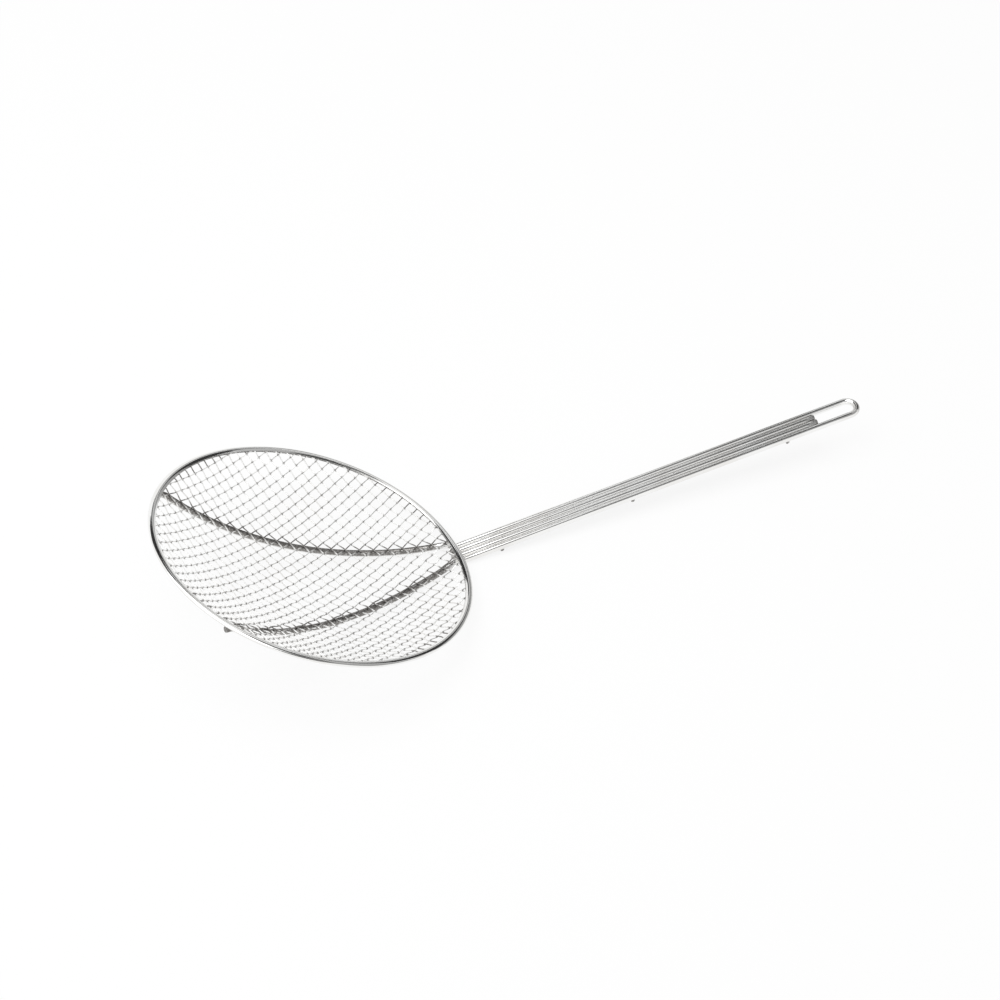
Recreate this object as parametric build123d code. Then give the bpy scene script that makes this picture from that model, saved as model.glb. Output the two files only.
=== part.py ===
from build123d import *

import os
from itertools import pairwise
from math import asin, atan2, cos, degrees, hypot, pi, radians, sin, sqrt, tan

os.makedirs("parts", exist_ok=True)

# A round skimmer: a shallow bowl of woven wire cloth, a folded steel band round its edge, and a handle of
# four wires side by side. The long outer wire is the hanging loop, both edges of the handle and, past the
# bowl's edge, the two ribs that fan out under the cloth. Sizes are in millimetres and degrees.
# Everything is worked out in the bowl's own frame, with the middle of its edge at the origin, Z square to
# the edge and X towards the handle, and is laid down on the table at the end.

# Band folded over the edge of the cloth
hoop_diameter = 216.0
band_width = 5.0
band_sheet = 0.4
band_fold_sides = 2

# Wire cloth, pressed to a shallow bowl with a flat edge
cloth_wire = 0.8
cloth_pitch = 6.6
cloth_turn = 29.5
cloth_crossing_gap = 0.1
cloth_clearance = 0.03
cloth_flat_edge = 0.5
cloth_end_gap = 0.4
bowl_depth = 27.5

# Handle wires and the ribs under the bowl
handle_wire = 4.4
strand_gap = 0.1
handle_length = 295.0
handle_rise = 25.4
handle_setback = 0.8
handle_bend_radius = 6.0
rib_bend_radius = 8.0
rib_spread = 37.5
rib_setback = 2.0
short_wire_share = 0.89
wire_sides = 8

# Cross bars welded under the handle wires
bar_diameter = 2.6
bar_overhang = 0.3
bar_shares = {"crossbar_at_bowl": 0.095, "crossbar_at_middle": 0.417, "crossbar_at_loop": 0.807}

# Radii, levels and directions that follow from the sizes
hoop_radius = hoop_diameter / 2
band_inner_radius = hoop_radius - band_width
corner_reach = cloth_wire * 2 / 3
crossing_lift = (cloth_wire + cloth_crossing_gap) / 2
cloth_underside = crossing_lift + corner_reach / 2
slot_half = crossing_lift + corner_reach + cloth_clearance
band_half = slot_half + band_sheet
fold_centre = hoop_radius - band_half
bowl_radius = band_inner_radius - cloth_flat_edge
cloth_end_radius = fold_centre - cloth_end_gap
cloth_sphere = (bowl_radius**2 + bowl_depth**2) / (2 * bowl_depth)
sphere_height = cloth_sphere - bowl_depth
wire_radius = handle_wire / 2
bar_radius = bar_diameter / 2
rib_sphere = cloth_sphere + cloth_underside + strand_gap + wire_radius
rib_level = -(band_half + strand_gap + wire_radius)
strand_pitch = handle_wire + strand_gap
outer_strand = strand_pitch * 3 / 2
inner_strand = strand_pitch / 2
cloth_along = Vector(cos(radians(cloth_turn)), sin(radians(cloth_turn)), 0)
cloth_across = Vector(-cloth_along.Y, cloth_along.X, 0)
handle_along = Vector(cos(radians(handle_rise)), 0, sin(radians(handle_rise)))
handle_up = Vector(-handle_along.Z, 0, handle_along.X)
handle_root = Vector(hoop_radius + handle_setback, 0, rib_level)


def rim_band():
    """The folded strip: two flat leaves with the cloth's edge between them, joined by a round fold."""
    fold_angles = [pi * (1 / 2 - step / band_fold_sides) for step in range(band_fold_sides + 1)]
    outside = [(fold_centre + band_half * cos(angle), band_half * sin(angle)) for angle in fold_angles]
    leaf_ends = [(band_inner_radius, -band_half), (band_inner_radius, -slot_half)]
    slot_back = [(fold_centre, -slot_half), (fold_centre, slot_half)]
    upper_ends = [(band_inner_radius, slot_half), (band_inner_radius, band_half)]
    outline = make_face(Plane.XZ * Polyline(*outside, *leaf_ends, *slot_back, *upper_ends, close=True))
    return revolve(outline, Axis.Z)


def cloth_point(x, y):
    """A point on the middle of the cloth, and the cloth's normal there: a sphere with a flat edge."""
    reach = hypot(x, y)
    if reach >= bowl_radius:
        return Vector(x, y, 0), Vector(0, 0, 1)
    drop = sqrt(cloth_sphere**2 - reach**2)
    return Vector(x, y, sphere_height - drop), Vector(-x, -y, drop) / cloth_sphere


def wire_offsets():
    """Distances of one set of wires from the bowl's middle, evenly spaced along the cloth."""
    half_count = int(cloth_sphere * asin(bowl_radius / cloth_sphere) / cloth_pitch + 1 / 2)
    steps = [index + 1 / 2 for index in range(-half_count, half_count)]
    return [cloth_sphere * sin(step * cloth_pitch / cloth_sphere) for step in steps]


def cloth_strand(row, along, across, over_first):
    """One crimped cloth wire: a three-sided rod that goes over and under the wires it crosses."""
    offsets = wire_offsets()
    offset = offsets[row]
    half_length = sqrt(cloth_end_radius**2 - offset**2)
    crossings = [(reach, column) for column, reach in enumerate(offsets) if abs(reach) < half_length]
    bend = sqrt(bowl_radius**2 - offset**2)
    stops = list(crossings)
    for side, near in ((-1, crossings[0]), (1, crossings[-1])):
        if bend - abs(near[0]) > cloth_wire:
            stops.append((side * bend, near[1]))
        if half_length - max(abs(near[0]), bend) > cloth_wire / 2:
            stops.append((side * half_length, near[1]))
    lean = asin(offset / cloth_sphere)
    section_up = Vector(0, 0, cos(lean)) - across * sin(lean)
    section_side = across * cos(lean) + Vector(0, 0, sin(lean))
    corners = [
        section_up * corner_reach * cos(angle) + section_side * corner_reach * sin(angle)
        for angle in (0, 2 * pi / 3, 4 * pi / 3)
    ]
    rings = []
    for reach, column in sorted(stops):
        spot = along * reach + across * offset
        middle, normal = cloth_point(spot.X, spot.Y)
        above = (row + column) % 2 == over_first
        centre = middle + normal * (crossing_lift if above else -crossing_lift)
        rings.append([centre + corner for corner in corners])
    faces = [Face(Wire.make_polygon(rings[0])), Face(Wire.make_polygon(rings[-1]))]
    for here, there in pairwise(rings):
        for side in range(len(corners)):
            edge = [here[side], here[side - 1], there[side - 1], there[side]]
            faces.append(Face(Wire.make_polygon(edge)))
    return Solid(Shell(faces))


def cloth_wires(along, across, over_first):
    """All the wires of the cloth that run one way."""
    return [cloth_strand(row, along, across, over_first) for row in range(len(wire_offsets()))]


def corner_arc(before, corner, after, radius):
    """Start, middle and end of the arc that rounds the corner between two straight runs."""
    back = (before - corner).normalized()
    on = (after - corner).normalized()
    half_turn = (pi - radians(back.get_angle(on))) / 2
    inward = (back + on).normalized()
    start = corner + back * radius * tan(half_turn)
    end = corner + on * radius * tan(half_turn)
    return start, corner + inward * radius * (1 / cos(half_turn) - 1), end


def flat_sided(radius):
    """A wire's section: a polygon round the true circle, with flats to the sides, above and below."""
    return RegularPolygon(radius, wire_sides, major_radius=False, rotation=180 / wire_sides)


def tube(path, start, towards):
    """A handle wire drawn along a path, as a rod with flat sides."""
    plane = Plane(origin=start, x_dir=(0, 1, 0), z_dir=towards)
    section = plane * flat_sided(wire_radius)
    return sweep(section, path=path)


def rib_path(side):
    """From the rib's free end under the far side of the band to the handle's root: its edges, in order."""
    root = handle_root + Vector(0, side * outer_strand, 0)
    far_angle = pi - radians(rib_spread)
    far = Vector(hoop_radius * cos(far_angle), side * hoop_radius * sin(far_angle), rib_level)
    run = (far - root).normalized()
    foot = root - run * root.dot(run)
    foot_level = Vector(foot.X, foot.Y, rib_level)
    arc_radius = sqrt(rib_sphere**2 - hypot(foot.X, foot.Y) ** 2)
    bend_centre_drop = sphere_height - rib_level + rib_bend_radius
    bend_reach = sqrt((arc_radius + rib_bend_radius) ** 2 - bend_centre_drop**2)
    slope = asin(bend_reach / (arc_radius + rib_bend_radius))

    def on_arc(angle):
        centre = foot_level + Vector(0, 0, sphere_height - rib_level)
        return centre + run * arc_radius * sin(angle) - Vector(0, 0, arc_radius * cos(angle))

    def on_bend(way, angle):
        centre = foot_level + run * way * bend_reach - Vector(0, 0, rib_bend_radius)
        return centre - run * way * rib_bend_radius * sin(angle) + Vector(0, 0, rib_bend_radius * cos(angle))

    free_end = far - run * rib_setback
    ahead = root + handle_along * handle_length
    turn_start, turn_middle, turn_end = corner_arc(far, root, ahead, handle_bend_radius)
    edges = [
        Line(free_end, on_bend(1, 0)),
        ThreePointArc(on_bend(1, 0), on_bend(1, slope / 2), on_bend(1, slope)),
        ThreePointArc(on_arc(slope), on_arc(0), on_arc(-slope)),
        ThreePointArc(on_bend(-1, slope), on_bend(-1, slope / 2), on_bend(-1, 0)),
        Line(on_bend(-1, 0), turn_start),
        ThreePointArc(turn_start, turn_middle, turn_end),
    ]
    return edges, free_end, -run, turn_end


def frame_wire():
    """The long wire: one rib, one edge of the handle, the hanging loop and back the same way."""
    left_edges, left_end, left_way, left_root = rib_path(1)
    right_edges, right_end, right_way, right_root = rib_path(-1)
    loop_centre = handle_root + handle_along * (handle_length - outer_strand - wire_radius)
    loop_left = loop_centre + Vector(0, outer_strand, 0)
    loop_right = loop_centre - Vector(0, outer_strand, 0)
    loop_tip = loop_centre + handle_along * outer_strand
    handle_edges = [
        Line(left_root, loop_left),
        ThreePointArc(loop_left, loop_tip, loop_right),
        Line(loop_right, right_root),
    ]
    path = Wire(left_edges + handle_edges + right_edges[::-1])
    return tube(path, left_end, left_way)


def short_wire(side):
    """A wire between the handle's edges, from under the band to just short of the hanging loop."""
    sideways = Vector(0, side * inner_strand, 0)
    start = Vector(band_inner_radius, 0, rib_level) + sideways
    root = handle_root + sideways
    end = root + handle_along * handle_length * short_wire_share
    turn_start, turn_middle, turn_end = corner_arc(start, root, end, handle_bend_radius)
    turn = ThreePointArc(turn_start, turn_middle, turn_end)
    path = Wire([Line(start, turn_start), turn, Line(turn_end, end)])
    return tube(path, start, Vector(1, 0, 0))


def bar_axis(share):
    """The middle of a cross bar, which touches the undersides of the four handle wires."""
    below = wire_radius + strand_gap + bar_radius
    return handle_root + handle_along * handle_length * share - handle_up * below


def cross_bar(share):
    """A short bar across the handle, its ends a little past the middles of the outer wires."""
    half_length = outer_strand + bar_overhang
    plane = Plane(origin=bar_axis(share), x_dir=handle_along, z_dir=(0, 1, 0))
    return extrude(plane * flat_sided(bar_radius), amount=half_length, both=True)


def rest_tilt():
    """The bowl's tilt on a table, where its ribs and the first cross bar both touch: the common tangent."""
    first = bar_axis(min(bar_shares.values()))
    drop = first.Z - sphere_height
    reach = rib_sphere + wire_radius - bar_radius
    return degrees(atan2(drop, first.X) + asin(reach / hypot(first.X, drop)))


parts = {
    "rim_band": [rim_band()],
    "cloth_wires_lengthwise": cloth_wires(cloth_along, cloth_across, 0),
    "cloth_wires_crosswise": cloth_wires(cloth_across, cloth_along, 1),
    "frame_wire": [frame_wire()],
    "left_short_wire": [short_wire(1)],
    "right_short_wire": [short_wire(-1)],
}
for name, share in bar_shares.items():
    parts[name] = [cross_bar(share)]

# Laid on the table: tilted to its rest, and moved so that the middle of its underside is the origin
tilted = Rotation(0, rest_tilt(), 0)
laid = Compound([tilted * solid for solids in parts.values() for solid in solids]).bounding_box()
place = Location((-laid.center().X, -laid.center().Y, -laid.min.Z)) * tilted
for name, solids in parts.items():
    placed = [place * solid for solid in solids]
    export_step(placed[0] if len(placed) == 1 else Compound(placed), f"parts/{name}.step")
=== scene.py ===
from math import asin, ceil, cos, hypot, pi, radians, sin, sqrt

import bpy
import numpy as np
from mathutils import Euler, Matrix, Vector


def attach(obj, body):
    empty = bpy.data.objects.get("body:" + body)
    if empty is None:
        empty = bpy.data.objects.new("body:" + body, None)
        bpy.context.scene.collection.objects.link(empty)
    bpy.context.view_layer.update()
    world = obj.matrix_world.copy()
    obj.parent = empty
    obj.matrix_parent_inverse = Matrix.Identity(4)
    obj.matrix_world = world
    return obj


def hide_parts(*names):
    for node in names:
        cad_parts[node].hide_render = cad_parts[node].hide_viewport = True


bl_info = {
    "name": "Wire skimmer",
    "version": (1, 0, 0),
    "blender": (4, 5, 0),
    "location": "3D View > Sidebar > Skimmer",
    "description": "Round wires, folded band, woven cloth and plated finishes for the packed wire skimmer",
    "category": "Add Mesh",
}

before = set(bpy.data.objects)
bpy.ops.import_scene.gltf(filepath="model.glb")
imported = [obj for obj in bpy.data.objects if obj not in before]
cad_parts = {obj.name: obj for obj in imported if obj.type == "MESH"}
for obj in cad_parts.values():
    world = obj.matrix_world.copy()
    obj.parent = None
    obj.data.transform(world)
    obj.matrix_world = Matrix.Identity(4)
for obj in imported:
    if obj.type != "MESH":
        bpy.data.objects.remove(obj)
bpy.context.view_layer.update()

MM = 0.001
BODY = "root"
HOOP_UP = np.array([0.0, 0.0, 1.0])  # The hoop's normal, in places given against the hoop
SHARPEST_SMOOTH = radians(42)  # Faces that meet at more than this show an edge


def read_hoop():
    """Middle, direction of the handle, sideways direction, normal and radius of the bowl's edge.

    The middle is the middle of the band's box. The normal is the direction in which the band's
    corners spread least, turned upwards, and the radius is the furthest corner's distance from it."""
    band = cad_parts["rim_band"].data
    corners = np.empty(len(band.vertices) * 3)
    band.vertices.foreach_get("co", corners)
    corners = np.unique(corners.reshape(-1, 3).round(6), axis=0)
    middle = (corners.min(0) + corners.max(0)) / 2
    spread = corners - middle
    normal = np.linalg.eigh(spread.T @ spread)[1][:, 0]
    normal *= np.sign(normal[2])
    side = np.array([0.0, 1.0, 0.0])
    ahead = np.cross(side, normal)
    ahead /= np.linalg.norm(ahead)
    flat = spread - np.outer(spread @ normal, normal)
    return middle, ahead, side, normal, np.linalg.norm(flat, axis=1).max()


HOOP_MIDDLE, HOOP_AHEAD, HOOP_SIDE, HOOP_NORMAL, HOOP_RADIUS = read_hoop()


def length(name, description, millimetres):
    """A size in metres that the sidebar shows, with its default given in millimetres."""
    return bpy.props.FloatProperty(
        name=name, description=description, default=millimetres * MM, min=0.0, precision=5, unit="LENGTH"
    )


def turn(name, description, in_degrees):
    """An angle that the sidebar shows."""
    return bpy.props.FloatProperty(
        name=name, description=description, default=radians(in_degrees), unit="ROTATION"
    )


def share(name, description, value):
    """A share between nothing and all of something."""
    return bpy.props.FloatProperty(
        name=name, description=description, default=value, min=0.0, max=1.0, subtype="FACTOR"
    )


def colour(name, description, value):
    """A colour that the sidebar shows."""
    return bpy.props.FloatVectorProperty(
        name=name, description=description, default=value, size=3, min=0.0, max=1.0, subtype="COLOR"
    )


class SkimmerSizes(bpy.types.PropertyGroup):
    """Sizes of the skimmer's pieces."""

    hoop_diameter: length("Hoop diameter", "Across the outside of the folded band", 2 * HOOP_RADIUS / MM)
    band_width: length("Band width", "From the outside of the fold to the leaves' inner edges", 5.0)
    band_height: length("Band height", "Over both leaves, at the fold", 2.8267)
    band_sheet: length("Band sheet", "Thickness of the strip", 0.4)
    band_pinch: length("Band pinch", "How much lower each leaf is at its inner edge than at its crown", 0.8)
    band_roll: length("Band roll", "From the leaves' crown to the outside of the fold", 2.4)
    cloth_wire: length("Cloth wire", "Diameter of the woven wires", 0.8)
    cloth_pitch: length("Cloth pitch", "From one woven wire to the next, along the cloth", 6.6)
    cloth_lift: length("Crimp", "How far a wire swings out of the cloth's middle at a crossing", 0.41)
    cloth_press: share("Press", "Share of the crimp that the band presses out of the cloth's edge", 0.6)
    cloth_turn: turn("Cloth turn", "Slant of the weave against the handle", 29.5)
    cloth_flat_edge: length("Flat edge", "Flat cloth inside the band", 0.5)
    cloth_end_gap: length("End gap", "From the ends of the woven wires to the back of the fold", 0.4)
    bowl_depth: length("Bowl depth", "From the hoop's level to the lowest cloth", 27.5)
    bowl_bend: length("Bowl bend", "Softness of the bend between the bowl and its flat edge", 0.15)
    handle_wire: length("Handle wire", "Diameter of the handle wires and ribs", 4.4)
    strand_gap: length("Strand gap", "Room between handle wires side by side", 0.1)
    # Reach of the painted shade on the cloth over each rib
    rib_shade_reach: length("Rest reach", "How far from a rib's middle the cloth is dull from resting on it", 3.2)
    rib_room: length("Rib room", "From the cloth's middle to the tops of the ribs", 0.8167)
    handle_length: length("Handle length", "From its root to the tip of the hanging loop", 295.0)
    handle_rise: turn("Handle rise", "Slope of the handle against the hoop", 25.4)
    handle_setback: length("Handle setback", "From the band's outside to the bend at the handle's root", 0.8)
    handle_bend_radius: length("Root bend radius", "Middle line of the bend at the handle's root", 6.0)
    rib_bend_radius: length("Rib bend radius", "Middle line of the bends that lead the ribs down", 8.0)
    rib_spread: turn("Rib spread", "Where ribs meet the band, off the point across from the handle", 37.5)
    rib_setback: length("Rib setback", "From the ribs' free ends to the band's outer edge", 2.0)
    short_wire_share: share("Short wire share", "Length of the short wires as a share of the handle's", 0.89)
    bar_diameter: length("Bar diameter", "Diameter of the cross bars", 2.6)
    bar_overhang: length("Bar overhang", "Bar past the middles of the outer handle wires", 0.3)
    bar_at_bowl: share("First bar", "Place of the bar nearest the bowl along the handle", 0.095)
    bar_at_middle: share("Second bar", "Place of the middle bar along the handle", 0.417)
    bar_at_loop: share("Third bar", "Place of the bar nearest the loop along the handle", 0.807)


class SkimmerFinish(bpy.types.PropertyGroup):
    """Colours of the plating."""

    plate: colour("Plate", "Bright plating on wires and band", (0.91, 0.91, 0.90))
    plate_cloudy: colour("Cloudy plate", "Plating where it is thinner and warmer", (0.84, 0.83, 0.81))
    # Dark colour for real residue at cut ends and weld burns, and for painted shade under the cloth, at the
    # weave's crossings and over the ribs
    residue_and_shade: colour("Residue", "Dull film that stays where wires touch", (0.22, 0.21, 0.20))


class SkimmerStudio(bpy.types.PropertyGroup):
    """Camera, floor and lamps."""

    camera_place: bpy.props.FloatVectorProperty(
        name="Camera place",
        description="Where the camera stands",
        default=(-0.57204, -1.33375, 1.44911),
        size=3,
        subtype="TRANSLATION",
        unit="LENGTH",
    )
    camera_turn: bpy.props.FloatVectorProperty(
        name="Camera turn",
        description="How the camera is turned",
        default=(radians(45.722), radians(0.472), radians(-23.084)),
        size=3,
        subtype="EULER",
    )
    camera_lens: bpy.props.FloatProperty(
        name="Lens", description="Focal length on a 36 mm sensor, in millimetres", default=111.4, min=1.0
    )
    floor_colour: colour("Floor", "Colour of the floor", (0.92, 0.92, 0.92))
    lamp_power: bpy.props.FloatProperty(
        name="Lamp", description="Power of the overhead lamp, in watts", default=15.0, min=0.0
    )
    room_light: bpy.props.FloatProperty(
        name="Room", description="Strength of the even light from all round", default=0.72, min=0.0
    )


def in_place(points):
    """Points given as ahead, aside and above the hoop's middle, put where the hoop lies."""
    return HOOP_MIDDLE + points @ np.stack([HOOP_AHEAD, HOOP_SIDE, HOOP_NORMAL])


def unit(vectors):
    """Vectors shortened or stretched to a length of one."""
    return vectors / np.linalg.norm(vectors, axis=-1, keepdims=True)


def make_piece(name, surface, marks, material, replaced):
    """A mesh object tied to the frame, from a surface given against the hoop.

    The surface is five whole arrays: corners, quads, triangles, the quads' UVs and the triangles' UVs. The
    marks are a value at each corner, by attribute name."""
    points, quads, triangles, quad_uv, triangle_uv = surface
    mesh = bpy.data.meshes.new(name)
    loops = np.concatenate([quads.ravel(), triangles.ravel()]).astype(np.int32)
    sides = np.repeat([4, 3], [len(quads), len(triangles)])
    starts = np.concatenate([[0], np.cumsum(sides)[:-1]])
    mesh.vertices.add(len(points))
    mesh.vertices.foreach_set("co", in_place(points).astype(np.float32).ravel())
    mesh.loops.add(len(loops))
    mesh.loops.foreach_set("vertex_index", loops)
    mesh.polygons.add(len(sides))
    mesh.polygons.foreach_set("loop_start", starts.astype(np.int32))
    mesh.polygons.foreach_set("use_smooth", np.ones(len(sides), bool))
    uv = np.concatenate([quad_uv.reshape(-1, 2), triangle_uv.reshape(-1, 2)])
    mesh.uv_layers.new(name="Surface").data.foreach_set("uv", uv.astype(np.float32).ravel())
    for mark, values in marks.items():
        attribute = mesh.attributes.new(mark, "FLOAT", "POINT")
        attribute.data.foreach_set("value", values.astype(np.float32).ravel())
    mesh.update(calc_edges=True)
    mesh.validate()
    mesh.set_sharp_from_angle(angle=SHARPEST_SMOOTH)
    mesh.materials.append(material)
    piece = bpy.data.objects.new(name, mesh)
    bpy.context.scene.collection.objects.link(piece)
    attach(piece, BODY)
    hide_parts(*replaced)
    return piece


def corner_uvs(*corners):
    """The UVs of a set of like faces, from a pair of arrays for each of their corners."""
    return np.stack([np.stack(corner, 1) for corner in corners], 1)


def carried_circle(path, above, radii, sides):
    """A circle carried along a path, with both ends closed by a pole, and its corners' outward directions.

    At each point of the path the circle lies across the path's direction, which is the line from the
    point before to the point after. Its first corner is the lowest against the direction called above.
    The UVs are metres along the path and round the circle, and on the ends metres from the pole."""
    ahead = np.empty_like(path)
    ahead[1:-1] = path[2:] - path[:-2]
    ahead[0] = path[1] - path[0]
    ahead[-1] = path[-1] - path[-2]
    ahead = unit(ahead)
    above = unit(above - (above * ahead).sum(1, keepdims=True) * ahead)
    aside = np.cross(above, ahead)
    angles = np.arange(sides) * 2 * pi / sides - pi / 2
    outward = aside[:, None] * np.cos(angles)[:, None] + above[:, None] * np.sin(angles)[:, None]
    rings = path[:, None] + outward * radii[:, None, None]
    points = np.concatenate([rings.reshape(-1, 3), path[:1], path[-1:]])
    ring, side = np.meshgrid(np.arange(len(path) - 1), np.arange(sides), indexing="ij")
    ring, side = ring.ravel(), side.ravel()
    other = (side + 1) % sides
    here, beyond = ring * sides, (ring + 1) * sides
    quads = np.stack([here + side, here + other, beyond + other, beyond + side], 1)
    run = np.concatenate([[0], np.cumsum(np.linalg.norm(np.diff(path, axis=0), axis=1))])
    girth = 2 * pi * radii.max() / sides
    quad_uv = corner_uvs(
        (run[ring], side * girth),
        (run[ring], (side + 1) * girth),
        (run[ring + 1], (side + 1) * girth),
        (run[ring + 1], side * girth),
    )
    corner = np.arange(sides)
    following = (corner + 1) % sides
    pole = len(path) * sides
    last = (len(path) - 1) * sides
    triangles = np.concatenate(
        [
            np.stack([np.full(sides, pole), following, corner], 1),
            np.stack([np.full(sides, pole + 1), last + corner, last + following], 1),
        ]
    )
    disc = np.stack([np.cos(angles), np.sin(angles)], 1) * radii.max()
    disc_next = disc[following]
    middle = np.zeros_like(disc)
    triangle_uv = np.concatenate(
        [np.stack([middle, disc_next, disc], 1), np.stack([middle, disc, disc_next], 1)]
    )
    return (points, quads, triangles, quad_uv, triangle_uv), outward


def cut_ends(path, radius, chamfer):
    """The path with two extra points near each end, and radii that round off the cut ends."""
    rounding = 0.3
    first, last = unit(path[1] - path[0]), unit(path[-1] - path[-2])
    steps = np.array([0.0, chamfer * rounding, chamfer])
    drops = np.array([chamfer, chamfer * rounding, 0.0])
    start = path[0] + steps[:, None] * first
    end = path[-1] - steps[::-1, None] * last
    whole = np.concatenate([start, path[1:-1], end])
    radii = np.full(len(whole), radius)
    radii[:3] -= drops
    radii[-3:] -= drops[::-1]
    return whole, radii


def rod(name, path, above, radius, sides, material, slot, replaced, burn=None):
    """A round rod with softly cut ends along a path given against the hoop.

    The mark called cut is one at the ends and fades with the distance from them in radii, and it comes back
    round a weld's burn. The other mark is painted shade: it darkens the upper side of what lies under the
    bowl, where the cloth above would shade it."""
    chamfer, cut_reach, burn_reach, burn_depth = 0.16, 1.2, 1.5, 0.9
    # Where the painted shade under the bowl starts and how far it fades in, and how soon it fades out
    # towards the rods' lower side
    shade_start, shade_run, bright_below = 6 * MM, 9 * MM, 0.55
    whole, radii = cut_ends(path, radius, radius * chamfer)
    surface, outward = carried_circle(whole, np.broadcast_to(above, whole.shape), radii, sides)
    points, poles = surface[0], [1.0, 1.0]
    run = np.linalg.norm(np.diff(whole, axis=0), axis=1).cumsum()
    near_end = np.concatenate([[0], run])
    near_end = np.minimum(near_end, near_end[-1] - near_end)
    cut = np.concatenate([np.repeat(np.exp(-near_end / (cut_reach * radius)), sides), poles])
    if burn is not None:
        burnt = np.linalg.norm(points - burn, axis=1) / (burn_reach * radius)
        cut = np.maximum(cut, burn_depth * np.exp(-(burnt**2)))
    # Painted shade: the upper side of the ribs under the bowl is darkened as if shaded by the cloth above
    # them
    shaded = np.clip((HOOP_RADIUS - shade_start - points[:, 0]) / shade_run, 0, 1)
    shaded *= np.concatenate([np.clip(1 + outward[:, :, 2].ravel() / bright_below, 0, 1), poles])
    return make_piece(name, surface, {"cut": cut, "shaded": shaded}, material, replaced)


def arc(centre, first, second, start, end, steps):
    """Points on a circle: the centre plus first times the cosine and second times the sine of the angle."""
    angle = np.linspace(start, end, steps)[:, None]
    return centre + first * np.cos(angle) + second * np.sin(angle)


def rounded_corner(before, corner, after, radius, steps):
    """Points on the arc that touches both straight runs at a corner."""
    back, on = unit(before - corner), unit(after - corner)
    half = (pi - np.arccos(np.clip(back @ on, -1, 1))) / 2
    inward = unit(back + on)
    centre = corner + inward * radius / cos(half)
    across = unit(np.cross(np.cross(back, on), inward))
    if across @ back > 0:
        across = -across
    return arc(centre, -inward * radius, across * radius, -half, half, steps)


def straight(start, end, step):
    """Points evenly spaced along a straight run, without its end."""
    count = max(1, ceil(np.linalg.norm(end - start) / step))
    return start + (end - start) * (np.arange(count) / count)[:, None]


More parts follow.
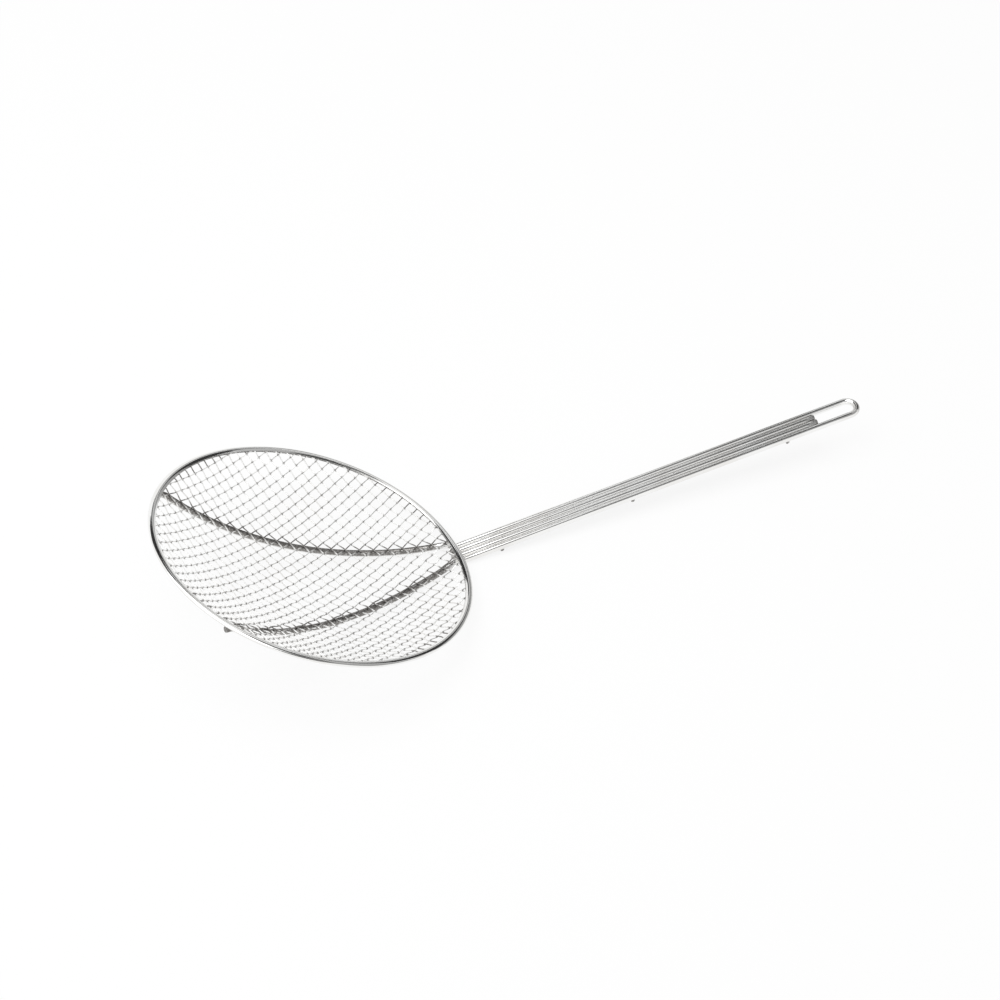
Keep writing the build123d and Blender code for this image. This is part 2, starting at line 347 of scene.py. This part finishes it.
class Shape:
    """Lengths and directions worked out from the named sizes, against the hoop's middle."""

    def __init__(self, size):
        self.size = size
        self.hoop_radius = size.hoop_diameter / 2
        self.band_inner = self.hoop_radius - size.band_width
        self.band_half = size.band_height / 2
        self.fold_centre = self.hoop_radius - self.band_half
        self.bowl_radius = self.band_inner - size.cloth_flat_edge
        self.cloth_end = self.fold_centre - size.cloth_end_gap
        self.cloth_sphere = (self.bowl_radius**2 + size.bowl_depth**2) / (2 * size.bowl_depth)
        self.sphere_height = self.cloth_sphere - size.bowl_depth
        self.wire_radius = size.handle_wire / 2
        self.rib_sphere = self.cloth_sphere + size.rib_room + self.wire_radius
        self.rib_level = -(self.band_half + size.strand_gap + self.wire_radius)
        pitch = size.handle_wire + size.strand_gap
        self.outer_strand = pitch * 3 / 2
        self.inner_strand = pitch / 2
        self.handle_along = np.array([cos(size.handle_rise), 0, sin(size.handle_rise)])
        self.handle_up = np.array([-sin(size.handle_rise), 0, cos(size.handle_rise)])
        self.handle_root = np.array([self.hoop_radius + size.handle_setback, 0, self.rib_level])
        self.loop_aside = np.array([0, self.outer_strand, 0])
        reach = size.handle_length - self.outer_strand - self.wire_radius
        self.loop_centre = self.handle_root + self.handle_along * reach

    def band_profile(self):
        """The folded strip's section, as distance from the hoop's axis and height, going round it once.

        Each leaf is a curve that drops with the square of its distance from its crown, the fold is half an
        ellipse from crown to crown, and the inside follows the outside one sheet's thickness in."""
        size = self.size
        leaf_points, fold_points, lip_points, lip_roundness = 13, 25, 7, 0.45
        sheet = size.band_sheet
        edge = sheet * lip_roundness
        leaf = np.linspace(0, 1, leaf_points)
        crown = self.hoop_radius - size.band_roll
        leaf_reach = self.band_inner + edge + (crown - self.band_inner - edge) * leaf
        drop = size.band_pinch * (1 - leaf) ** 2
        outer = self.band_half - drop
        inner = outer - sheet
        fold = np.linspace(-pi / 2, pi / 2, fold_points)[1:-1]
        lip = np.linspace(0, pi, lip_points)[1:-1]
        lip_middle = (outer[0] + inner[0]) / 2
        lip_reach = self.band_inner + edge - edge * np.sin(lip)
        lip_height = lip_middle + sheet / 2 * np.cos(lip)
        slot_half = self.band_half - sheet
        rows = [
            (leaf_reach, -outer),
            (crown + size.band_roll * np.cos(fold), self.band_half * np.sin(fold)),
            (leaf_reach[::-1], outer[::-1]),
            (lip_reach, lip_height),
            (leaf_reach, inner),
            (crown + (size.band_roll - sheet) * np.cos(fold[::-1]), slot_half * np.sin(fold[::-1])),
            (leaf_reach[::-1], -inner[::-1]),
            (lip_reach, -lip_height[::-1]),
        ]
        return np.concatenate([np.stack(row, 1) for row in rows])

    def cloth_surface(self, ahead, aside):
        """Points on the middle of the cloth and its normals.

        The height is a sphere's inside the bowl and nothing beyond it; the two are joined by a soft
        minimum, minus the bend's size times the logarithm of one plus e to the minus height over size."""
        bend = self.size.bowl_bend
        reach = np.hypot(ahead, aside)
        drop = np.sqrt(self.cloth_sphere**2 - reach**2)
        height = (self.sphere_height - drop) / bend
        level = -bend * np.logaddexp(0, -height)
        slope = reach / drop / (1 + np.exp(np.clip(height, -60, 60)))
        safe = np.maximum(reach, 1e-9)
        normal = np.stack([-slope * ahead / safe, -slope * aside / safe, np.ones_like(reach)], 1)
        return np.stack([ahead, aside, level], 1), unit(normal)

    def cloth_steps(self):
        """Places of one set of woven wires, counted in pitches from the bowl's middle."""
        pitch = self.size.cloth_pitch
        half_count = int(self.cloth_sphere * asin(self.bowl_radius / self.cloth_sphere) / pitch + 1 / 2)
        return np.arange(-half_count, half_count) + 1 / 2

    def woven_wire(self, row, along, across, over_first, rings_per_pitch):
        """Middle line of one woven wire, its crossing phase and the cloth's normals along it.

        Counted in pitches along the cloth, the wire swings out of the middle by the crimp times a cosine
        with its crests at the crossings, and past the last crossing it keeps that crossing's swing. The
        swing is pressed flatter evenly over a short run that ends just past the band's inner edge."""
        size, steps = self.size, self.cloth_steps()
        press_whole, press_run = 0.6 * MM, 2.4 * MM
        offset = self.cloth_sphere * sin(steps[row] * size.cloth_pitch / self.cloth_sphere)
        half_length = sqrt(self.cloth_end**2 - offset**2)
        reach_of = self.cloth_sphere * np.sin(steps * size.cloth_pitch / self.cloth_sphere)
        last = steps[np.abs(reach_of) < half_length].max()
        end = self.cloth_sphere * asin(half_length / self.cloth_sphere) / size.cloth_pitch
        place = np.linspace(-end, end, 2 * ceil(end * rings_per_pitch) + 1)
        reach = self.cloth_sphere * np.sin(place * size.cloth_pitch / self.cloth_sphere)
        spots = np.outer(reach, along) + across * offset
        middle, normal = self.cloth_surface(spots[:, 0], spots[:, 1])
        phase = np.cos(pi * (np.clip(place, -last, last) - steps[0] + row - over_first))
        inside = np.clip((self.band_inner + press_whole - np.linalg.norm(spots, axis=1)) / press_run, 0, 1)
        swing = size.cloth_lift * phase * (1 - size.cloth_press * (1 - inside))
        return middle + normal * swing[:, None], phase, normal

    def rib_line(self, side):
        """Where a rib's line in plan leaves the handle's root and meets the hoop, and its direction."""
        root = self.handle_root + np.array([0, side * self.outer_strand, 0])
        angle = pi - self.size.rib_spread
        far = np.array([self.hoop_radius * cos(angle), side * self.hoop_radius * sin(angle), self.rib_level])
        return root, far, unit(far - root)

    def rib_nearness(self, spots):
        """One over the middle of a rib, falling to nothing beside it.

        It is e raised to minus the fourth power of the distance from the rib's line in plan, counted in
        reaches."""
        nearness = np.zeros(len(spots))
        for side in (1, -1):
            root, far, run = self.rib_line(side)
            gap = np.abs((spots[:, 0] - root[0]) * run[1] - (spots[:, 1] - root[1]) * run[0])
            nearness = np.maximum(nearness, np.exp(-((gap / self.size.rib_shade_reach) ** 4)))
        return nearness

    def rib(self, side, step):
        """Middle line of one rib, from its free end under the far band to the handle's root bend.

        A flat run, a bend, a circle of the rib's sphere cut by an upright plane, a bend and a flat run."""
        bend_points, bowl_points = 7, 96
        size, up = self.size, HOOP_UP
        root, far, run = self.rib_line(side)
        foot = root - run * (root @ run)
        foot[2] = self.rib_level
        arc_radius = sqrt(self.rib_sphere**2 - hypot(foot[0], foot[1]) ** 2)
        bend = size.rib_bend_radius
        bend_reach = sqrt((arc_radius + bend) ** 2 - (self.sphere_height - self.rib_level + bend) ** 2)
        slope = asin(bend_reach / (arc_radius + bend))
        centre = foot + up * (self.sphere_height - self.rib_level)
        near_bend = foot - run * bend_reach - up * bend
        far_bend = foot + run * bend_reach - up * bend
        ahead = root + self.handle_along * size.handle_length
        turning = rounded_corner(far, root, ahead, size.handle_bend_radius, bend_points)
        far_rise = arc(far_bend, up * bend, -run * bend, 0, slope, bend_points)
        bowl = arc(centre, -up * arc_radius, run * arc_radius, slope, -slope, bowl_points)
        near_rise = arc(near_bend, up * bend, run * bend, slope, 0, bend_points)
        return np.concatenate(
            [
                straight(far - run * size.rib_setback, far_rise[0], step),
                far_rise,
                bowl[1:-1],
                near_rise,
                straight(near_rise[-1], turning[0], step)[1:],
                turning,
            ]
        )

    def loop_point(self, share_round):
        """A point on the middle line of the hanging loop's half circle, by its share of the way round."""
        across, along = self.loop_aside, self.handle_along * self.outer_strand
        return self.loop_centre + across * cos(pi * share_round) + along * sin(pi * share_round)

    def long_wire(self, step):
        """Middle line of the long wire: rib, handle's edge, half a circle for the loop, and back."""
        loop_points = 25
        left, right = self.rib(1, step), self.rib(-1, step)
        across, along = self.loop_aside, self.handle_along * self.outer_strand
        loop = arc(self.loop_centre, across, along, 0, pi, loop_points)
        return np.concatenate(
            [
                left,
                straight(left[-1], loop[0], step)[1:],
                loop,
                straight(loop[-1], right[-1], step)[1:],
                right[::-1],
            ]
        )

    def short_wire(self, side, step):
        """Middle line of a short wire: from the band's inner edge, round the root bend and up the handle."""
        size, bend_points = self.size, 9
        aside = np.array([0, side * self.inner_strand, 0])
        start = np.array([self.band_inner, 0, self.rib_level]) + aside
        root = self.handle_root + aside
        end = root + self.handle_along * size.handle_length * size.short_wire_share
        turning = rounded_corner(start, root, end, size.handle_bend_radius, bend_points)
        run = straight(turning[-1], end, step)[1:]
        return np.concatenate([start[None], turning, run, end[None]])

    def bar(self, place):
        """Middle line of a cross bar, square to the handle and just under its wires."""
        size, points = self.size, 9
        under = self.wire_radius + size.strand_gap + size.bar_diameter / 2
        middle = self.handle_root + self.handle_along * size.handle_length * place - self.handle_up * under
        half = np.array([0, self.outer_strand + size.bar_overhang, 0])
        return middle + half * np.linspace(-1, 1, points)[:, None]


def add_node(tree, kind, links=None, **settings):
    """A node with its settings, its values by input name and its links by input name."""
    node = tree.nodes.new(kind)
    for name, value in settings.items():
        setattr(node, name, value)
    for name, value in (links or {}).items():
        target = node.inputs[name]
        if isinstance(value, bpy.types.NodeSocket):
            tree.links.new(value, target)
        else:
            target.default_value = value
    return node


def bare_material(name):
    """A new material without any nodes, and its node tree."""
    material = bpy.data.materials.new(name)
    material.use_nodes = True
    material.node_tree.nodes.clear()
    return material, material.node_tree


def arithmetic(tree, operation, *values):
    """The result of a Math node on sockets and plain numbers."""
    return add_node(tree, "ShaderNodeMath", dict(enumerate(values)), operation=operation).outputs[0]


def noise(tree, where, scale, detail):
    """The grey values of a noise at the given places."""
    links = {"Vector": where, "Scale": scale, "Detail": detail}
    return add_node(tree, "ShaderNodeTexNoise", links).outputs["Fac"]


def plated_steel(name, lines_along, lines_across, marks, roughness, line_depth, metal=1.0):
    """Bright plating: cloudy colour and gloss, drawn lines along the piece, fine pits, and dark marks:
    residue at cut ends and burns, painted shade under and in the cloth, and a darker inner edge on the band.

    A share of bare metal under one stands for a satin plating that scatters part of the light."""
    cloud_scale, grain_scale, pit_scale = 38.0, 700.0, 2600.0
    cloudy_below, clear_above = 0.32, 0.6
    least_line, most_line = 0.3, 0.7
    line_height, pit_height, pit_depth = 0.00004, 0.00003, 0.006
    residue_roughness = 0.25
    finish = bpy.context.scene.skimmer_finish
    material, tree = bare_material(name)
    place = add_node(tree, "ShaderNodeTexCoord")
    everywhere = place.outputs["Object"]
    cloud = noise(tree, everywhere, cloud_scale, detail=4.0)
    pits = noise(tree, everywhere, pit_scale, detail=2.0)
    stretch = {"Vector": place.outputs["UV"], "Scale": (lines_along, lines_across, 1.0)}
    strip = add_node(tree, "ShaderNodeMapping", stretch)
    lines = noise(tree, strip.outputs["Vector"], scale=1.0, detail=3.0)
    plate = add_node(tree, "ShaderNodeValToRGB", {"Fac": cloud})
    low, high = plate.color_ramp.elements
    low.position, low.color = cloudy_below, (*finish.plate_cloudy, 1.0)
    high.position, high.color = clear_above, (*finish.plate, 1.0)
    shade = plate.outputs["Color"]
    gloss = add_node(
        tree,
        "ShaderNodeMapRange",
        {
            "Value": lines,
            "From Min": least_line,
            "From Max": most_line,
            "To Min": roughness[0],
            "To Max": roughness[1],
        },
    ).outputs["Result"]
    # Each mark mixes in the dark colour: real residue at cut ends and burns, painted shade for the marks
    # under and in the cloth
    for mark, strength in marks.items():
        level = add_node(tree, "ShaderNodeAttribute", attribute_name=mark, attribute_type="GEOMETRY")
        broken = arithmetic(tree, "MULTIPLY", level.outputs["Fac"], strength)
        grain = noise(tree, everywhere, grain_scale, detail=3.0)
        patchy = arithmetic(tree, "MULTIPLY", broken, grain)
        shade = mixed_colour(tree, patchy, shade, (*finish.residue_and_shade, 1.0))
        gloss = arithmetic(tree, "MULTIPLY_ADD", patchy, residue_roughness, gloss)
    drawn = {"Height": lines, "Strength": line_depth, "Distance": line_height}
    drawn = add_node(tree, "ShaderNodeBump", drawn).outputs["Normal"]
    pitted = {"Height": pits, "Strength": pit_depth, "Distance": pit_height, "Normal": drawn}
    pitted = add_node(tree, "ShaderNodeBump", pitted).outputs["Normal"]
    metal_look = {"Base Color": shade, "Metallic": metal, "Roughness": gloss, "Normal": pitted}
    shader = add_node(tree, "ShaderNodeBsdfPrincipled", metal_look)
    add_node(tree, "ShaderNodeOutputMaterial", {"Surface": shader.outputs["BSDF"]})
    return material


def mixed_colour(tree, factor, first, second):
    """Two colours mixed by a factor."""
    node = tree.nodes.new("ShaderNodeMix")
    node.data_type = "RGBA"
    tree.links.new(factor, node.inputs[0])
    tree.links.new(first, node.inputs[6])
    node.inputs[7].default_value = second
    return node.outputs[2]


class SKIMMER_OT_rim_band(bpy.types.Operator):
    """Make the folded band round the bowl's edge"""

    bl_idname = "skimmer.rim_band"
    bl_label = "Folded band"

    def execute(self, context):
        """The band's section turned about the hoop's axis: distance times cosine and sine of the angle."""
        shape = Shape(context.scene.skimmer_sizes)
        profile = shape.band_profile()
        around, count, edge_mark = 288, len(profile), 0.3 * MM
        angle = np.arange(around) * 2 * pi / around
        reach, height = profile[:, 0], profile[:, 1]
        points = np.stack(
            [
                np.outer(np.cos(angle), reach),
                np.outer(np.sin(angle), reach),
                np.broadcast_to(height, (around, count)),
            ],
            2,
        ).reshape(-1, 3)
        spoke, corner = np.meshgrid(np.arange(around), np.arange(count), indexing="ij")
        spoke, corner = spoke.ravel(), corner.ravel()
        other, following = (spoke + 1) % around, (corner + 1) % count
        quads = np.stack(
            [
                spoke * count + corner,
                other * count + corner,
                other * count + following,
                spoke * count + following,
            ],
            1,
        )
        closed = np.concatenate([profile, profile[:1]])
        girth = np.concatenate([[0], np.linalg.norm(np.diff(closed, axis=0), axis=1).cumsum()])
        arc_step = shape.hoop_radius * 2 * pi / around
        quad_uv = corner_uvs(
            (spoke * arc_step, girth[corner]),
            ((spoke + 1) * arc_step, girth[corner]),
            ((spoke + 1) * arc_step, girth[corner + 1]),
            (spoke * arc_step, girth[corner + 1]),
        )
        edge = np.clip((shape.band_inner + edge_mark - reach) / edge_mark, 0, 1)
        material = plated_steel(
            "plated_band_finish",
            lines_along=60.0,
            lines_across=5200.0,
            marks={"edge": 0.9},
            roughness=(0.06, 0.11),
            line_depth=0.03,
        )
        surface = (points, quads, np.zeros((0, 3), int), quad_uv, np.zeros((0, 3, 2)))
        marks = {"edge": np.tile(edge, around)}
        make_piece("folded_band", surface, marks, material, ["rim_band"])
        return {"FINISHED"}


class SKIMMER_OT_wire_cloth(bpy.types.Operator):
    """Weave the bowl's two sets of crimped wires"""

    bl_idname = "skimmer.wire_cloth"
    bl_label = "Woven cloth"

    def execute(self, context):
        """Each wire is a circle carried along its crimped middle line."""
        shape = Shape(context.scene.skimmer_sizes)
        slant = shape.size.cloth_turn
        along = np.array([cos(slant), sin(slant), 0])
        across = np.array([-sin(slant), cos(slant), 0])
        drawn = {"lines_along": 160.0, "lines_across": 5200.0, "line_depth": 0.03}
        # Both sets of wires carry painted shade at their crossings and over the ribs
        warp = plated_steel(
            "plated_lengthwise_finish", marks={"weave_shade": 3.0}, roughness=(0.20, 0.30), metal=0.8, **drawn
        )
        weft = plated_steel(
            "plated_crosswise_finish", marks={"weave_shade": 2.6}, roughness=(0.34, 0.46), metal=0.25, **drawn
        )
        self.weave(shape, "cloth_lengthwise", along, across, 0, warp, "cloth_wires_lengthwise")
        self.weave(shape, "cloth_crosswise", across, along, 1, weft, "cloth_wires_crosswise")
        return {"FINISHED"}

    def weave(self, shape, name, along, across, over_first, material, replaced):
        """One set of wires, joined into one mesh.

        The mark is painted shade: at the crossings by a high power of the crossing phase, a little
        more on the side that touches the other wire, and over the ribs."""
        sides, radius, rings_per_pitch = 8, shape.size.cloth_wire / 2, 8
        shade_level, more_at_touch, crossing_power = 0.8, 0.2, 20
        parts, first = [], 0
        for row in range(len(shape.cloth_steps())):
            path, phase, normal = shape.woven_wire(row, along, across, over_first, rings_per_pitch)
            surface, outward = carried_circle(path, normal, np.full(len(path), radius), sides)
            points, quads, triangles, quad_uv, triangle_uv = surface
            facing = (outward * normal[:, None]).sum(2)
            # Painted shade where the wires cross and shade each other, and over the ribs beneath the cloth
            weave_shade = shade_level - more_at_touch * facing * np.sign(phase)[:, None]
            weave_shade = weave_shade * np.abs(phase)[:, None] ** crossing_power
            weave_shade = np.maximum(weave_shade, shade_level * shape.rib_nearness(path)[:, None])
            weave_shade = np.concatenate([weave_shade.ravel(), [0.0, 0.0]])
            shifted_uv = (quad_uv + (0, row), triangle_uv + (0, row))
            parts.append((points, quads + first, triangles + first, *shifted_uv, weave_shade))
            first += len(points)
        *surface, weave_shade = (np.concatenate(group) for group in zip(*parts))
        make_piece(name, surface, {"weave_shade": weave_shade}, material, [replaced])


class SKIMMER_OT_handle_wires(bpy.types.Operator):
    """Draw the long wire with its loop and ribs, and the two short wires"""

    bl_idname = "skimmer.handle_wires"
    bl_label = "Handle wires and ribs"

    def execute(self, context):
        """Rods along the middle lines of the three wires."""
        shape = Shape(context.scene.skimmer_sizes)
        material = plated_steel(
            "plated_wire_finish",
            lines_along=45.0,
            lines_across=4200.0,
            # The second mark paints shade on the ribs' upper side under the cloth
            marks={"cut": 1.5, "shaded": 1.9},
            roughness=(0.07, 0.11),
            line_depth=0.02,
        )
        step, sides, burn_share, radius = 8 * MM, 40, 0.68, shape.wire_radius
        finish = (material, "plated_wire")
        burn = shape.loop_point(burn_share)
        rod("long_wire", shape.long_wire(step), HOOP_UP, radius, sides, *finish, ["frame_wire"], burn)
        for name, side in (("left", 1), ("right", -1)):
            path = shape.short_wire(side, step)
            rod(f"{name}_inner_wire", path, HOOP_UP, radius, sides, *finish, [f"{name}_short_wire"])
        return {"FINISHED"}


class SKIMMER_OT_cross_bars(bpy.types.Operator):
    """Lay the three cross bars under the handle"""

    bl_idname = "skimmer.cross_bars"
    bl_label = "Cross bars"

    def execute(self, context):
        """Rods square to the handle."""
        shape = Shape(context.scene.skimmer_sizes)
        size = shape.size
        material = plated_steel(
            "plated_bar_finish",
            lines_along=60.0,
            lines_across=4200.0,
            marks={"cut": 1.7},
            roughness=(0.12, 0.26),
            line_depth=0.05,
        )
        sides, radius, above = 32, size.bar_diameter / 2, shape.handle_up
        places = {"bowl": size.bar_at_bowl, "middle": size.bar_at_middle, "loop": size.bar_at_loop}
        for name, place in places.items():
            path, replaced = shape.bar(place), [f"crossbar_at_{name}"]
            rod(f"bar_at_{name}", path, above, radius, sides, material, "plated_bar", replaced)
        return {"FINISHED"}


class SKIMMER_OT_stage(bpy.types.Operator):
    """Set up the floor, the lamps, the reflecting cards and the camera"""

    bl_idname = "skimmer.stage"
    bl_label = "Studio"

    def execute(self, context):
        """Everything that isn't part of the skimmer."""
        studio = context.scene.skimmer_studio
        self.floor(context, studio)
        self.room(context, studio)
        self.cards(context)
        self.lamp(context, studio)
        self.camera(context, studio)
        context.scene.view_settings.view_transform = "Standard"
        return {"FINISHED"}

    def lamp(self, context, studio):
        """A wide lamp high beyond the bowl, leaning towards the skimmer."""
        width, place, lean = 1.6, (-0.55, 0.15, 1.7), (radians(-4), radians(-18), 0)
        lamp = bpy.data.lights.new("overhead_lamp", "AREA")
        lamp.shape, lamp.size, lamp.size_y, lamp.energy = "RECTANGLE", width, width, studio.lamp_power
        holder = bpy.data.objects.new("overhead_lamp", lamp)
        holder.matrix_world = Matrix.Translation(place) @ Euler(lean).to_matrix().to_4x4()
        context.scene.collection.objects.link(holder)

    def camera(self, context, studio):
        """The camera that gives the main picture."""
        sensor = 36.0
        view = bpy.data.cameras.new("camera")
        view.sensor_width, view.lens = sensor, studio.camera_lens
        camera = bpy.data.objects.new("camera", view)
        aim = Euler(studio.camera_turn).to_matrix().to_4x4()
        camera.matrix_world = Matrix.Translation(studio.camera_place) @ aim
        context.scene.collection.objects.link(camera)
        context.scene.camera = camera

    def seen_white(self, tree):
        """One for rays from the camera and rays mirrored or passed on by the object, nothing for others."""
        path = add_node(tree, "ShaderNodeLightPath").outputs
        mirrored = arithmetic(tree, "MAXIMUM", path["Is Camera Ray"], path["Is Glossy Ray"])
        return arithmetic(tree, "MAXIMUM", mirrored, path["Is Transmission Ray"])

    def floor(self, context, studio):
        """A wide matt sheet under the skimmer, mostly plain white to the camera and in reflections."""
        reach, white_share = 6.0, 0.82
        corners = [(-reach, -reach, 0), (reach, -reach, 0), (reach, reach, 0), (-reach, reach, 0)]
        mesh = bpy.data.meshes.new("floor")
        mesh.from_pydata(corners, [], [(0, 1, 2, 3)])
        material, tree = bare_material("pale_floor")
        matt = add_node(tree, "ShaderNodeBsdfDiffuse", {"Color": (*studio.floor_colour, 1.0)})
        white = add_node(tree, "ShaderNodeEmission", {"Strength": 1.0})
        portion = arithmetic(tree, "MULTIPLY", self.seen_white(tree), white_share)
        mix = add_node(tree, "ShaderNodeMixShader", {0: portion, 1: matt.outputs[0], 2: white.outputs[0]})
        add_node(tree, "ShaderNodeOutputMaterial", {"Surface": mix.outputs[0]})
        mesh.materials.append(material)
        floor = bpy.data.objects.new("floor", mesh)
        context.scene.collection.objects.link(floor)

    def room(self, context, studio):
        """Even light from all round, seen as white."""
        world = bpy.data.worlds.new("room")
        context.scene.world = world
        world.use_nodes = True
        tree = world.node_tree
        tree.nodes.clear()
        levels = {"Value": self.seen_white(tree), "To Min": studio.room_light, "To Max": 1.0}
        strength = add_node(tree, "ShaderNodeMapRange", levels).outputs["Result"]
        white = {"Color": (1.0, 1.0, 1.0, 1.0), "Strength": strength}
        light = add_node(tree, "ShaderNodeBackground", white)
        add_node(tree, "ShaderNodeOutputWorld", {"Surface": light.outputs[0]})

    def cards(self, context):
        """Grey and dark cards round the set, which only show as reflections in the metal.

        Each card is a piece of a sphere round the bowl, on a grid of azimuths and heights in degrees, and
        has a brightness. Dark cards stand a little nearer, so they cover the grey ones that they overlap."""
        bowl, distance_of_grey, step_nearer, dark_below = Vector((-0.1, 0.0, 0.05)), 1.2, 0.02, 0.2
        columns, rows = 12, 6
        column, row = np.meshgrid(np.arange(columns), np.arange(rows), indexing="ij")
        first = (column * (rows + 1) + row).ravel()
        faces = np.stack([first, first + 1, first + rows + 2, first + rows + 1], 1).tolist()
        for name, west, east, low, high, level in (
            ("grey_back", -6.0, 44.0, 2.0, 19.0, 0.36),
            ("pale_back", 44.0, 53.0, 2.0, 30.0, 0.55),
            ("grey_back_left", 53.0, 61.0, 2.0, 27.0, 0.36),
            ("dark_back_right", 2.0, 43.0, 19.0, 38.0, 0.04),
            ("dark_back_left", 54.0, 67.0, 27.0, 42.0, 0.03),
            ("dark_left_high", 71.0, 84.0, 43.0, 57.0, 0.03),
            ("dark_left_over", 62.0, 71.0, 49.0, 57.0, 0.03),
            ("dark_left_low", 67.0, 84.0, 32.0, 43.0, 0.03),
            ("dark_left_far", 83.0, 115.0, 34.0, 60.0, 0.05),
            ("grey_left_high", 49.0, 58.0, 38.0, 43.5, 0.28),
            ("pale_right_high", -4.0, 36.0, 38.0, 56.0, 0.50),
            ("dark_back_high", 29.0, 43.5, 46.0, 62.0, 0.06),
            ("dark_over", -28.0, 24.0, 56.0, 74.0, 0.05),
            ("grey_over_back", 24.0, 38.0, 62.0, 74.0, 0.45),
            ("grey_over_right", -50.0, -28.0, 57.0, 70.0, 0.50),
            ("grey_right", -54.0, -4.0, 20.0, 57.0, 0.36),
            ("dark_front_high", -104.0, -70.0, 43.0, 66.0, 0.04),
            ("dark_front_right", -70.0, -50.0, 45.0, 66.0, 0.10),
        ):
            azimuth = np.radians(np.linspace(west, east, columns + 1))
            height = np.radians(np.linspace(low, high, rows + 1))
            azimuth, height = np.meshgrid(azimuth, height, indexing="ij")
            toward = [np.cos(azimuth) * np.cos(height), np.sin(azimuth) * np.cos(height), np.sin(height)]
            distance = distance_of_grey - step_nearer * (level < dark_below)
            spots = (np.stack(toward, 2) * distance + np.array(bowl)).reshape(-1, 3)
            mesh = bpy.data.meshes.new(name)
            mesh.from_pydata(spots.tolist(), [], faces)
            material, tree = bare_material(name)
            brightness = {"Color": (level, level, level, 1.0), "Strength": 1.0}
            glow = add_node(tree, "ShaderNodeEmission", brightness)
            add_node(tree, "ShaderNodeOutputMaterial", {"Surface": glow.outputs[0]})
            mesh.materials.append(material)
            card = bpy.data.objects.new(name, mesh)
            context.scene.collection.objects.link(card)
            card.visible_camera = False
            card.visible_diffuse = False
            card.visible_shadow = False
            card.visible_transmission = False


class SKIMMER_PT_pieces(bpy.types.Panel):
    """Pieces and sizes of the skimmer"""

    bl_idname = "SKIMMER_PT_pieces"
    bl_label = "Wire skimmer"
    bl_space_type = "VIEW_3D"
    bl_region_type = "UI"
    bl_category = "Skimmer"

    def draw(self, context):
        """A button for each piece, then the sizes, colours and studio settings."""
        for operator in OPERATORS:
            self.layout.operator(operator.bl_idname)
        scene = context.scene
        for group in (scene.skimmer_sizes, scene.skimmer_finish, scene.skimmer_studio):
            box = self.layout.box()
            for name in group.__annotations__:
                box.prop(group, name)


GROUPS = (SkimmerSizes, SkimmerFinish, SkimmerStudio)
OPERATORS = (
    SKIMMER_OT_rim_band,
    SKIMMER_OT_wire_cloth,
    SKIMMER_OT_handle_wires,
    SKIMMER_OT_cross_bars,
    SKIMMER_OT_stage,
)


def register():
    """Make the groups, operators and panel known, and give the scene its settings."""
    for cls in (*GROUPS, *OPERATORS, SKIMMER_PT_pieces):
        bpy.utils.register_class(cls)
    bpy.types.Scene.skimmer_sizes = bpy.props.PointerProperty(type=SkimmerSizes)
    bpy.types.Scene.skimmer_finish = bpy.props.PointerProperty(type=SkimmerFinish)
    bpy.types.Scene.skimmer_studio = bpy.props.PointerProperty(type=SkimmerStudio)


def unregister():
    """Take away what register made."""
    del bpy.types.Scene.skimmer_sizes, bpy.types.Scene.skimmer_finish, bpy.types.Scene.skimmer_studio
    for cls in reversed((*GROUPS, *OPERATORS, SKIMMER_PT_pieces)):
        bpy.utils.unregister_class(cls)


def main():
    """Make every piece in order."""
    register()
    bpy.ops.skimmer.rim_band()
    bpy.ops.skimmer.wire_cloth()
    bpy.ops.skimmer.handle_wires()
    bpy.ops.skimmer.cross_bars()
    bpy.ops.skimmer.stage()


if __name__ == "__main__":
    main()
